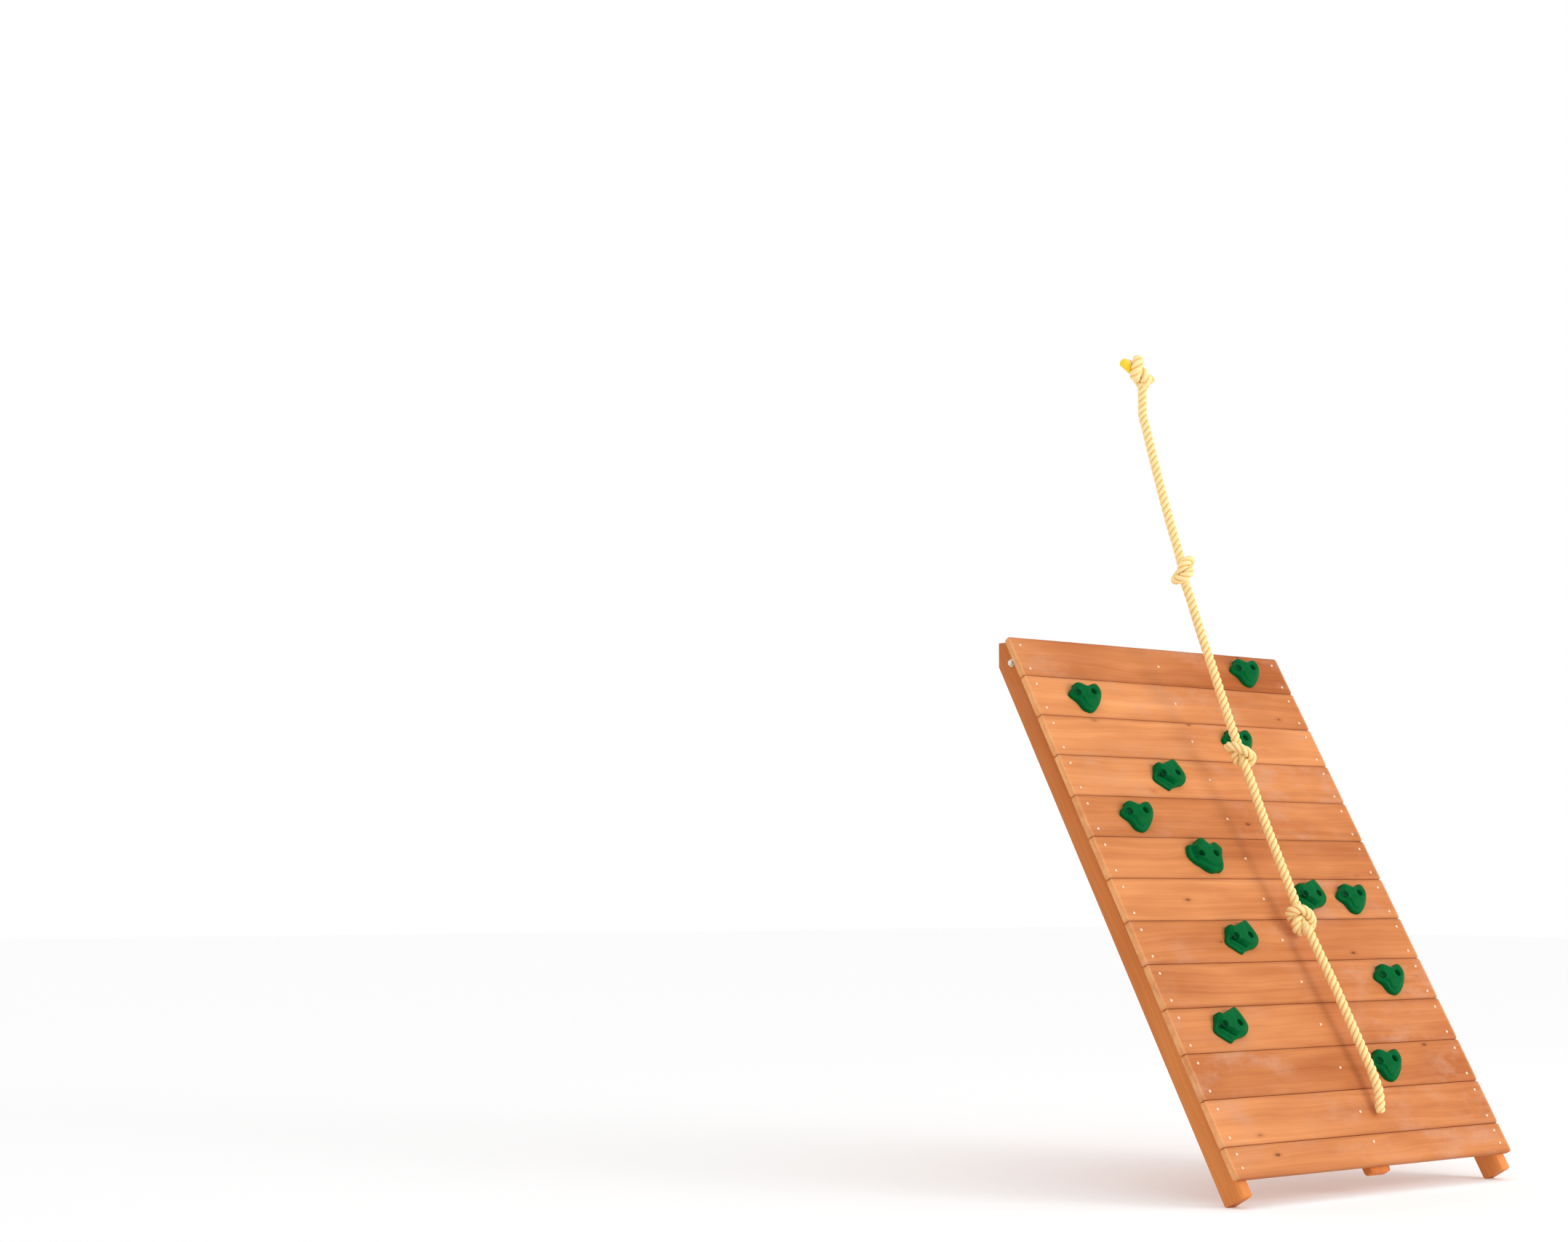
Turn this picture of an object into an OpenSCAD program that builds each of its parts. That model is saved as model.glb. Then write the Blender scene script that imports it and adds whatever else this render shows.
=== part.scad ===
// Sloping climbing wall for a timber playset: butted planks on two rafters and a batten,
// bolted hand holds, and a knotted rope that hangs from the beam above.
// X runs along the planks, +Y points into the playset, +Z is up.
// The origin is the middle of the four rim bolt holes, on the face of the playset's rim.

/* [Wall] */
// Angle of the wall above the ground, degrees
slope = 60; // [55:1:65]
// Length of every plank
plank_length = 1220; // [1100:10:1300]
// Distance from one plank's edge to the next
plank_pitch = 140; // [120:5:150]
// Thickness of a plank
plank_thick = 19; // [16:1:22]
// Width of the narrow plank at the bottom
last_plank_width = 94; // [60:1:140]
// Open joint between two planks
plank_gap = 0.6; // [0.4:0.1:2]
// Height of the top plank's front edge above the rim bolts' centre
top_above_bolts = 65; // [60:1:80]
// Distance from the rim's face out to the top plank's front edge
rim_reach = 58; // [50:1:66]

/* [Frame] */
// Width of a rafter
rafter_width = 38; // [32:1:45]
// Depth of a rafter behind the planks
rafter_depth = 76; // [70:1:84]
// Distance from a plank's end in to the rafter's outer face
rafter_inset = 16; // [10:1:24]
// How far the rafters reach below the last plank
foot_reach = 44; // [30:1:60]
// Width of the flat batten behind the middle of the planks
batten_width = 89; // [70:1:100]
// Thickness of the batten
batten_thick = 25; // [19:1:38]
// Offset of the batten from the middle of the wall
batten_offset = 10; // [-20:1:20]

/* [Fasteners] */
// Diameter of a wood screw's shank
screw_d = 4; // [3:0.5:5]
// Diameter of a wood screw's domed head
screw_head_d = 9; // [7:0.5:11]
// Length of a wood screw under its head
screw_length = 50; // [35:1:55]
// Diameter of a hold bolt's shank
hold_bolt_d = 8; // [6:1:8]
// Distance between the two bolts of a hold
hold_bolt_pitch = 60; // [55:1:62]
// Diameter of the frame bolts through the rafters
frame_bolt_d = 10; // [8:1:10]
// Diameter of the rim bolt holes in the angle brackets
rim_hole_d = 9; // [7:0.5:11]

/* [Brackets] */
// Width of the bracket's leg along the rim
bracket_leg = 64; // [56:1:76]
// Height of a bracket
bracket_height = 70; // [64:1:74]
// Thickness of the bracket's plate
bracket_thick = 5; // [3:0.5:6]

/* [Rope] */
// Diameter of the rope
rope_d = 30; // [24:1:31]
// Length of a knot along the rope
knot_length = 92; // [80:1:94]
// Width of a knot across the rope
knot_width = 86; // [70:1:90]
// Thickness of the beam that the rope passes through
beam_thick = 89; // [80:1:100]

/* [Hidden] */

eps = 1;
full_planks = 12;
plank_count = 13;
edge_round = 3;
end_round = 6;
foot_round = 8;
batten_round = 10;
batten_top = 12;
batten_drop = 14;
batten_skin = 4;
top_cut_drop = 16;
screw_in = 36;
screw_slack = 0.2;
screw_hole_d = screw_d + screw_slack;
screw_head_h = 3;
row_high = 0.21;
row_low = 0.82;
last_row_high = 0.25;
last_row_low = 0.68;
hold_seat = 14;
shank_slack = 1;
hold_hole_d = hold_bolt_d + shank_slack;
hold_recess_d = 20;
hold_head_d = 16;
hold_head_h = 7;
hold_key_d = 6;
tee_barrel_d = 10.4;
tee_hole_d = 11;
tee_barrel_h = 11;
tee_flange_d = 24;
tee_flange_h = 1.6;
hold_bolt_end = 26;
bracket_bolt_y = -58;
bracket_bolt_z = -15;
bracket_side_leg = 74;
bracket_side_top = 51;
bracket_nose_z = -5;
rim_hole_in = 40;
rim_hole_pitch = 40;
washer_h = 2;
washer_d = 24;
nut_h = 8;
nut_flats = 16;
bolt_head_h = 7;
bolt_stub = 3;
bolt_slack = 0.6;
bore_slack = 0.2;
top_knot_length = 104;
neck_in_knot = 8;

wall_length = full_planks * plank_pitch + last_plank_width;
foot_at = wall_length + foot_reach;
rafter_back = plank_thick + rafter_depth;
rafter_x = plank_length / 2 - rafter_inset - rafter_width / 2;
screw_x = plank_length / 2 - screw_in;

// Place of each hold: distance from the left plank ends, plank number, type of hold
HOLDS = [
  [205, 2, "heart"], [1010, 1, "heart"], [810, 3, "heart"], [425, 4, "eared"],
  [205, 5, "heart"], [430, 6, "crown"], [1010, 7, "heart"], [820, 7, "eared"],
  [425, 8, "eared"], [1010, 9, "heart"], [215, 10, "eared"], [810, 11, "heart"]
];

// Lobes of each type of hold: x, y up the slope, radius at the base, height off the plank
HEART = [[-30, 8, 25, 25], [42, 4, 28, 36], [10, -32, 25, 24]];
EARED = [[-36, 10, 26, 28], [36, 16, 28, 32], [36, -4, 28, 30], [-24, -20, 26, 20]];
CROWN = [[-38, 6, 29, 24], [0, 22, 28, 36], [40, 10, 27, 34], [22, -22, 26, 24]];

// Route of the rope's centre line, from the underside of the beam to its lower end
EXIT = [16, -31, 831];
RUN_1 = [
  [16, -32, 819], [17, -42, 785], [18, -56, 735], [20, -83, 640], [23, -109, 550],
  [26, -137, 458], [28, -162, 385], [29, -173, 348]
];
RUN_2 = [
  [31, -196, 256], [33, -212, 214], [35, -238, 140], [38, -269, 55], [41, -301, -30],
  [44, -332, -115], [46, -356, -180], [48, -378, -235]
];
RUN_3 = [
  [51, -414, -322], [53, -432, -365], [55, -457, -430], [58, -491, -512], [61, -527, -594],
  [64, -556, -660], [67, -590, -738]
];
RUN_4 = [
  [72, -636, -822], [75, -677, -896], [79, -720, -974], [82, -759, -1050], [86, -797, -1126],
  [90, -837, -1204], [90, -853, -1238], [87, -868, -1270], [81, -878, -1302], [73, -885, -1335]
];
KNOT_1 = [30, -184, 302];
KNOT_2 = [50, -395, -278];
KNOT_3 = [69, -612, -781];
TOP_KNOT = [0, -31, 962];
TAIL_START = [-20, -31, 966];
TAIL_END = [-72, -31, 986];

// Wall coordinates: x along the planks, y up the slope, z out of the face
module on_wall() {
  translate([0, -rim_reach, top_above_bolts]) rotate([slope, 0, 0]) children();
}

// Turns a depth out from the top edge and a height above it into wall coordinates
function to_wall(out, up) = [out * cos(slope) + up * sin(slope), up * cos(slope) - out * sin(slope)];

// Points of a quarter turn of radius r about c, from angle a
function corner(c, r, a) = [for (i = [0:4]) [c[0] + r * cos(a + i * 22.5), c[1] + r * sin(a + i * 22.5)]];

function round_rect(x0, y0, x1, y1, r) = concat(
  corner([x1 - r, y1 - r], r, 0), corner([x0 + r, y1 - r], r, 90),
  corner([x0 + r, y0 + r], r, 180), corner([x1 - r, y0 + r], r, 270)
);

function plank_height(i) = i > full_planks ? last_plank_width : plank_pitch;
function plank_top(i) = -(i - 1) * plank_pitch;
function side_rows(i) = i > full_planks ? [last_row_high, last_row_low] : [row_high, row_low];
function middle_row(i) = i > full_planks ? last_row_high : 0.5;

// Places of the wood screws in plank i
function screws_of(i) = concat(
  [for (side = [-1, 1], row = side_rows(i)) [side * screw_x, plank_top(i) - row * plank_height(i)]],
  [[batten_offset, plank_top(i) - middle_row(i) * plank_height(i)]]
);
function side_screws(i, side) = [for (row = side_rows(i)) [side * screw_x, plank_top(i) - row * plank_height(i)]];

function hold_row(h) = h[2] == "crown" ? 0 : 5;
function hold_place(h) = [h[0] - plank_length / 2, plank_top(h[1]) - plank_pitch / 2 + hold_row(h)];
function hold_bolts_of(h) = [for (side = [-1, 1]) hold_place(h) + [side * hold_bolt_pitch / 2, 0]];
function holds_on(i) = [for (h = HOLDS) if (h[1] == i) h];
function lobes_of(kind) = kind == "heart" ? HEART : kind == "eared" ? EARED : CROWN;

module at(places) {
  for (p = places) translate([p[0], p[1], 0]) children();
}

module pilot_hole(depth) {
  translate([0, 0, -depth]) cylinder(h = depth + eps, d = screw_hole_d, $fn = 24);
}

module plank(i, stain) {
  y1 = plank_top(i) - plank_gap / 2;
  y0 = plank_top(i) - plank_height(i) + plank_gap / 2;
  color(stain) on_wall() difference() {
    intersection() {
      translate([0, 0, -plank_thick]) linear_extrude(plank_thick)
        polygon(round_rect(-plank_length / 2, y0, plank_length / 2, y1, end_round));
      translate([-plank_length / 2 - eps, 0, 0]) rotate([90, 0, 90])
        linear_extrude(plank_length + 2 * eps)
          polygon(round_rect(y0, -plank_thick, y1, 0, edge_round));
    }
    at(screws_of(i)) pilot_hole(plank_thick + eps);
    for (h = holds_on(i)) at(hold_bolts_of(h))
      translate([0, 0, -plank_thick - eps]) cylinder(h = plank_thick + 2 * eps, d = tee_hole_d, $fn = 32);
  }
}

module stringer(side) {
  front = -plank_thick;
  back = -rafter_back;
  level_out = (-top_cut_drop * cos(slope) - front) / sin(slope);
  plumb_up = (back + rim_reach * sin(slope)) / cos(slope);
  foot = concat(
    corner([-foot_at + foot_round, front - foot_round], foot_round, 90),
    corner([-foot_at + foot_round, back + foot_round], foot_round, 180)
  );
  profile = concat(
    [to_wall(rim_reach, plumb_up), to_wall(rim_reach, -top_cut_drop), to_wall(level_out, -top_cut_drop)],
    foot
  );
  color("chocolate") difference() {
    on_wall() difference() {
      translate([side * rafter_x - rafter_width / 2, 0, 0]) rotate([90, 0, 90])
        linear_extrude(rafter_width) polygon(profile);
      for (i = [1:plank_count]) at(side_screws(i, side)) pilot_hole(screw_length + eps);
    }
    translate([side * rafter_x - rafter_width, bracket_bolt_y, bracket_bolt_z]) rotate([0, 90, 0])
      cylinder(h = 2 * rafter_width, d = frame_bolt_d + bolt_slack, $fn = 32);
  }
}

module centre_batten() {
  color("peru") on_wall() difference() {
    translate([batten_offset, 0, -plank_thick - batten_thick]) linear_extrude(batten_thick)
      polygon(round_rect(-batten_width / 2, -wall_length - batten_drop, batten_width / 2, -batten_top, batten_round));
    for (i = [1:plank_count])
      translate([batten_offset, plank_top(i) - middle_row(i) * plank_height(i), 0])
        pilot_hole(plank_thick + batten_thick - batten_skin + eps);
  }
}

// A domed wood screw whose head's underside is at z = 0
module wood_screw() {
  translate([0, 0, -screw_length]) cylinder(h = screw_length, d = screw_d, $fn = 20);
  intersection() {
    cylinder(h = screw_head_h, d = screw_head_d, $fn = 24);
    translate([0, 0, screw_head_h - screw_head_d]) sphere(r = screw_head_d, $fn = 40);
  }
}

// The middle screws only reach the batten's back, so they are shorter
module plank_screws() {
  color("silver") on_wall() for (i = [1:plank_count]) {
    at(side_screws(i, -1)) wood_screw();
    at(side_screws(i, 1)) wood_screw();
    translate([batten_offset, plank_top(i) - middle_row(i) * plank_height(i), 0]) middle_screw();
  }
}

module middle_screw() {
  intersection() {
    wood_screw();
    translate([0, 0, -plank_thick - batten_thick + batten_skin]) cylinder(h = 60, d = 2 * screw_head_d);
  }
}

// One swelling of a hold, wide at the plank and narrower at its crest
module lobe(l) {
  translate([l[0], l[1], 0]) {
    cylinder(h = l[3] * 0.4, r1 = l[2], r2 = l[2] * 0.94, $fn = 32);
    translate([0, 0, l[3] * 0.4]) cylinder(h = l[3] * 0.6, r1 = l[2] * 0.94, r2 = l[2] * 0.55, $fn = 32);
  }
}

module hold(k) {
  h = HOLDS[k - 1];
  lobes = lobes_of(h[2]);
  color("darkgreen") on_wall() at([hold_place(h)]) difference() {
    for (i = [0:len(lobes) - 1]) hull() {
      lobe(lobes[i]);
      lobe(lobes[(i + 1) % len(lobes)]);
    }
    for (side = [-1, 1]) translate([side * hold_bolt_pitch / 2, 0, 0]) {
      translate([0, 0, -eps]) cylinder(h = 60, d = hold_hole_d, $fn = 32);
      translate([0, 0, hold_seat]) cylinder(h = 60, d = hold_recess_d, $fn = 40);
    }
  }
}

module hold_bolt() {
  difference() {
    union() {
      translate([0, 0, -hold_bolt_end]) cylinder(h = hold_bolt_end + hold_seat, d = hold_bolt_d, $fn = 24);
      translate([0, 0, hold_seat]) cylinder(h = hold_head_h, d = hold_head_d, $fn = 32);
    }
    translate([0, 0, hold_seat + hold_head_h / 2]) cylinder(h = hold_head_h, d = hold_key_d, $fn = 6);
  }
}

module hold_bolts() {
  color("green") on_wall() for (h = HOLDS) at(hold_bolts_of(h)) hold_bolt();
}

module tee_nut() {
  translate([0, 0, -plank_thick]) difference() {
    union() {
      translate([0, 0, -tee_flange_h]) cylinder(h = tee_flange_h, d = tee_flange_d, $fn = 32);
      cylinder(h = tee_barrel_h, d = tee_barrel_d, $fn = 32);
    }
    translate([0, 0, -eps - tee_flange_h])
      cylinder(h = tee_barrel_h + tee_flange_h + 2 * eps, d = hold_bolt_d + bore_slack, $fn = 32);
  }
}

module hold_tee_nuts() {
  color("gainsboro") on_wall() for (h = HOLDS) at(hold_bolts_of(h)) tee_nut();
}

// The angle bracket for the left rafter; the right one is its mirror image
module bracket_shape() {
  inner = -rafter_x + rafter_width / 2;
  half = bracket_height / 2;
  difference() {
    union() {
      translate([inner, -bracket_thick, -half]) cube([bracket_leg, bracket_thick, bracket_height]);
      translate([inner, 0, 0]) rotate([90, 0, 90]) linear_extrude(bracket_thick) polygon([
        [0, -half], [0, half], [-bracket_side_top, half],
        [-bracket_side_leg, bracket_nose_z], [-bracket_side_leg, -half]
      ]);
    }
    for (z = [-1, 1]) translate([inner + rim_hole_in, eps, z * rim_hole_pitch / 2]) rotate([90, 0, 0])
      cylinder(h = bracket_thick + 2 * eps, d = rim_hole_d, $fn = 32);
    translate([inner - eps, bracket_bolt_y, bracket_bolt_z]) rotate([0, 90, 0])
      cylinder(h = bracket_thick + 2 * eps, d = frame_bolt_d + bolt_slack, $fn = 32);
  }
}

module rim_bracket_left() {
  color("silver") bracket_shape();
}

module rim_bracket_right() {
  color("silver") mirror([1, 0, 0]) bracket_shape();
}

// Places a piece on the left frame bolt's axis, x outwards from the rafter's outer face
module on_bolt() {
  outer = -rafter_x - rafter_width / 2;
  translate([outer, bracket_bolt_y, bracket_bolt_z]) rotate([0, 90, 0]) children();
}

module both_sides() {
  children();
  mirror([1, 0, 0]) children();
}

module hexagon(flats, h) {
  cylinder(h = h, d = flats / cos(30), $fn = 6);
}

module bracket_bolts() {
  grip = rafter_width + bracket_thick + washer_h;
  color("gainsboro") both_sides() on_bolt() {
    translate([0, 0, -washer_h]) cylinder(h = grip + washer_h + nut_h + bolt_stub, d = frame_bolt_d, $fn = 32);
    translate([0, 0, -washer_h - bolt_head_h]) hexagon(nut_flats, bolt_head_h);
  }
}

module washer() {
  difference() {
    cylinder(h = washer_h, d = washer_d, $fn = 40);
    translate([0, 0, -eps]) cylinder(h = washer_h + 2 * eps, d = frame_bolt_d + bore_slack, $fn = 32);
  }
}

module bracket_washers() {
  color("gainsboro") both_sides() on_bolt() {
    translate([0, 0, -washer_h]) washer();
    translate([0, 0, rafter_width + bracket_thick]) washer();
  }
}

module bracket_nuts() {
  color("gainsboro") both_sides() on_bolt()
    translate([0, 0, rafter_width + bracket_thick + washer_h]) difference() {
      hexagon(nut_flats, nut_h);
      translate([0, 0, -eps]) cylinder(h = nut_h + 2 * eps, d = frame_bolt_d + bore_slack, $fn = 32);
    }
}

function unit(v) = v / norm(v);
function tangent(p, i) = unit(p[min(i + 1, len(p) - 1)] - p[max(i - 1, 0)]);

// Catmull-Rom point between p[i] and p[i + 1]
function between(p, i, t) = let (
    a = p[max(i - 1, 0)], b = p[i], c = p[i + 1], d = p[min(i + 2, len(p) - 1)]
  ) 0.5 * (2 * b + (c - a) * t + (2 * a - 5 * b + 4 * c - d) * t * t + (3 * b - 3 * c + d - a) * t * t * t);
function refine(p) = [for (i = [0:len(p) - 2], t = [0, 0.5]) between(p, i, t)];
function smooth(p) = concat(refine(p), [p[len(p) - 1]]);

function ring(c, t, sides) = let (
    v = unit(cross(t, [1, 0, 0])), w = cross(t, v)
  ) [for (k = [0:sides - 1]) c + rope_d / 2 * (cos(360 * k / sides) * v + sin(360 * k / sides) * w)];

// A tube along the route p: one closed polyhedron
module tube(p, sides = 12) {
  n = len(p);
  points = [for (i = [0:n - 1]) each ring(p[i], tangent(p, i), sides)];
  sheet = [
    for (i = [0:n - 2], k = [0:sides - 1], half = [0, 1])
      let (a = i * sides + k, b = i * sides + (k + 1) % sides)
        half == 0 ? [a, a + sides, b] : [b, a + sides, b + sides]
  ];
  caps = [[for (k = [0:sides - 1]) k], [for (k = [sides - 1:-1:0]) (n - 1) * sides + k]];
  polyhedron(points, concat(sheet, caps));
}

// A knot: an egg-shaped solid along the rope's direction at c
module knot(c, direction, length, width) {
  d = unit(direction);
  translate(c) rotate([0, acos(d[2]), atan2(d[1], d[0])]) rotate_extrude($fn = 32)
    polygon([for (a = [-90:15:90]) [width / 2 * cos(a), length / 2 * sin(a)]]);
}

module rope_run(p) {
  color("khaki") tube(smooth(p), 10);
}

module rope_knot(c, direction) {
  color("khaki") knot(c, direction, knot_length, knot_width);
}

module rope_neck() {
  color("khaki") translate(EXIT) cylinder(h = beam_thick + neck_in_knot, d = rope_d, $fn = 24);
}

module rod(a, b, d) {
  v = b - a;
  translate(a) rotate([0, acos(v[2] / norm(v)), atan2(v[1], v[0])]) cylinder(h = norm(v), d = d, $fn = 24);
}

// The stopper knot on the beam, with the rope's cut upper end standing out of it
module rope_top_knot() {
  color("khaki") {
    knot(TOP_KNOT, [1, 0, 0], top_knot_length, 2 * (TOP_KNOT[2] - EXIT[2] - beam_thick));
    rod(TAIL_START, TAIL_END, 0.9 * rope_d);
  }
}

stringer(-1);  // stringer_left
stringer(1);  // stringer_right
centre_batten();
plank(1, "sandybrown");  // plank_01
plank(2, "peru");  // plank_02
plank(3, "sandybrown");  // plank_03
plank(4, "sandybrown");  // plank_04
plank(5, "peru");  // plank_05
plank(6, "sandybrown");  // plank_06
plank(7, "peru");  // plank_07
plank(8, "sandybrown");  // plank_08
plank(9, "sandybrown");  // plank_09
plank(10, "peru");  // plank_10
plank(11, "sandybrown");  // plank_11
plank(12, "sandybrown");  // plank_12
plank(13, "peru");  // plank_13
hold(1);  // hold_01
hold(2);  // hold_02
hold(3);  // hold_03
hold(4);  // hold_04
hold(5);  // hold_05
hold(6);  // hold_06
hold(7);  // hold_07
hold(8);  // hold_08
hold(9);  // hold_09
hold(10);  // hold_10
hold(11);  // hold_11
hold(12);  // hold_12
plank_screws();
hold_bolts();
hold_tee_nuts();
rim_bracket_left();
rim_bracket_right();
bracket_bolts();
bracket_washers();
bracket_nuts();
rope_top_knot();
rope_neck();
rope_run(RUN_1);  // rope_run_1
rope_run(RUN_2);  // rope_run_2
rope_run(RUN_3);  // rope_run_3
rope_run(RUN_4);  // rope_run_4
rope_knot(KNOT_1, RUN_2[0] - RUN_1[7]);  // rope_knot_1
rope_knot(KNOT_2, RUN_3[0] - RUN_2[7]);  // rope_knot_2
rope_knot(KNOT_3, RUN_4[0] - RUN_3[6]);  // rope_knot_3
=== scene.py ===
"""Looks of the sloping climbing wall and its rope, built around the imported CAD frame.

Lengths are in metres unless a comment says that they are in millimetres.
"""
import math
import random

import bmesh
import bpy
import numpy as np
from mathutils import Matrix, Vector, noise


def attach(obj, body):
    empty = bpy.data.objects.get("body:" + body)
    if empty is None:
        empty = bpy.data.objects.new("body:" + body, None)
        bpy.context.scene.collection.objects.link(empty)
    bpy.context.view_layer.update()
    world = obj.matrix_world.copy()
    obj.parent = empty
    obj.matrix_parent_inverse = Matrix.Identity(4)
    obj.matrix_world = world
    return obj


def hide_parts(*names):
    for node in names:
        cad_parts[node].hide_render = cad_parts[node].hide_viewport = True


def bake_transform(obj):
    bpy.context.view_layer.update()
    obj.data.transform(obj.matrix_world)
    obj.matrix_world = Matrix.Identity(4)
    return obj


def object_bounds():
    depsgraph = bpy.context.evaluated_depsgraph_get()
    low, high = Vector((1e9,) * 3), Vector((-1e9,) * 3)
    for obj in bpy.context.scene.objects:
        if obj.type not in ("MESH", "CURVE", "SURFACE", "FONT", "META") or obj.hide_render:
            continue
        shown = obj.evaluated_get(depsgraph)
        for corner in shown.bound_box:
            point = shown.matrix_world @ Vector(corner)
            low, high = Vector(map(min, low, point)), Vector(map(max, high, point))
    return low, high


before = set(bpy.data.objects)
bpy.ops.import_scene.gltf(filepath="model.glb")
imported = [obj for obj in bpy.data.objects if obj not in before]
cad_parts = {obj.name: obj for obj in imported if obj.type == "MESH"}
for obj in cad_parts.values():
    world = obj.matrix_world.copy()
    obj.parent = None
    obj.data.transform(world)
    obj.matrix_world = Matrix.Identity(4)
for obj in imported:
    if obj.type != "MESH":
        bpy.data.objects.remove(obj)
CAD_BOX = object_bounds()

# The wall: X along the planks, local Y up the slope, local Z out of the planks' faces.
# Its origin is the top edge of plank 1, in the middle of the wall.
SLOPE = math.radians(60)
TOP_OUT, TOP_UP = 0.058, 0.065
WALL = Matrix.Translation((0, -TOP_OUT, TOP_UP)) @ Matrix.Rotation(SLOPE, 4, "X")

# Planks: pitch down the slope, width of the last one, gap between two, length and thickness
FULL_PLANKS = 12
PLANKS = FULL_PLANKS + 1
PITCH = 0.140
LAST_WIDTH = 0.094
GAP = 0.0006
LENGTH = 1.220
THICK = 0.019
WALL_HEIGHT = FULL_PLANKS * PITCH + LAST_WIDTH

# Rafters: centre line, thickness, depth, local Z of the back, how far the foot passes the planks,
# and how far their level top lies under plank 1's top edge
RAFTER_X = LENGTH / 2 - 0.035
RAFTER_WIDTH = 0.038
RAFTER_DEPTH = 0.076
BACK = -0.095
FOOT_PAST = 0.044
LEVEL_TOP = -0.016

# Batten: centre line, section, and where it starts and ends along the wall
BATTEN_X = 0.010
BATTEN_WIDTH = 0.089
BATTEN_THICK = 0.025
BATTEN_START = 0.012
BATTEN_PAST = 0.014

# Screws: distance from the planks' ends, rows as parts of a plank's width, and lengths
SCREW_INSET = 0.036
SCREW_ROWS, LAST_SCREW_ROWS = (0.21, 0.82), (0.25, 0.68)
SIDE_SCREW, BATTEN_SCREW = 0.050, 0.040

GROUND = CAD_BOX[0][2]

# Each hold: distance from the planks' left ends, plank number, type
HOLDS = [
    (0.205, 2, "heart"), (1.010, 1, "heart"), (0.810, 3, "heart"), (0.425, 4, "eared"),
    (0.205, 5, "heart"), (0.430, 6, "crown"), (1.010, 7, "heart"), (0.820, 7, "eared"),
    (0.425, 8, "eared"), (1.010, 9, "heart"), (0.215, 10, "eared"), (0.810, 11, "heart"),
]
# The holds' rows lie a little above the middle of their planks, apart from the crown's
HOLD_RAISE = 0.005
BOLT_PITCH = 0.060

# The rope: diameter, length of one turn of its strands, beam's height and exit under the beam.
# The route to its lower end is in mm, as in part.scad, and the knots sit at points of it.
ROPE_D = 0.030
LAY = 0.062
BEAM = 0.089
EXIT = (0.016, -0.031, 0.831)
ROUTE = [
    (16, -32, 819), (17, -42, 785), (18, -56, 735), (20, -83, 640), (23, -109, 550),
    (26, -137, 458), (28, -162, 385), (29, -173, 348), (30, -184, 302),
    (31, -196, 256), (33, -212, 214), (35, -238, 140), (38, -269, 55), (41, -301, -30),
    (44, -332, -115), (46, -356, -180), (48, -378, -235), (50, -395, -278),
    (51, -414, -322), (53, -432, -365), (55, -457, -430), (58, -491, -512), (61, -527, -594),
    (64, -556, -660), (67, -590, -738), (69, -612, -781),
    (72, -636, -822), (75, -677, -896), (79, -720, -974), (82, -759, -1050), (86, -797, -1126),
    (90, -837, -1204), (90, -853, -1238), (87, -868, -1270), (81, -878, -1302), (73, -885, -1335),
]
ROUTE = [Vector(p) / 1000 for p in ROUTE]
KNOTS = {"rope_knot_1": ROUTE[8], "rope_knot_2": ROUTE[17], "rope_knot_3": ROUTE[25]}
TOP_KNOT = Vector((0, -0.031, 0.962))


# ---- Camera ----

CAMERA_AT = (-5.9783, -5.6989, -0.6718)
CAMERA_LENS, SENSOR = 59.07, 36
AZIMUTH, TILT, ROLL = math.radians(38.583), math.radians(5.748), math.radians(0.237)


def add_camera():
    """The photograph's view: level with the middle of the wall, from its left front."""
    data = bpy.data.cameras.new("view")
    data.sensor_width = SENSOR
    data.lens = CAMERA_LENS
    camera = bpy.data.objects.new("view", data)
    turn = Matrix.Rotation(-AZIMUTH, 4, "Z") @ Matrix.Rotation(math.pi / 2 + TILT, 4, "X")
    camera.matrix_world = Matrix.Translation(CAMERA_AT) @ turn @ Matrix.Rotation(ROLL, 4, "Z")
    bpy.context.scene.collection.objects.link(camera)
    bpy.context.scene.camera = camera


# ---- Materials ----

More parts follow.
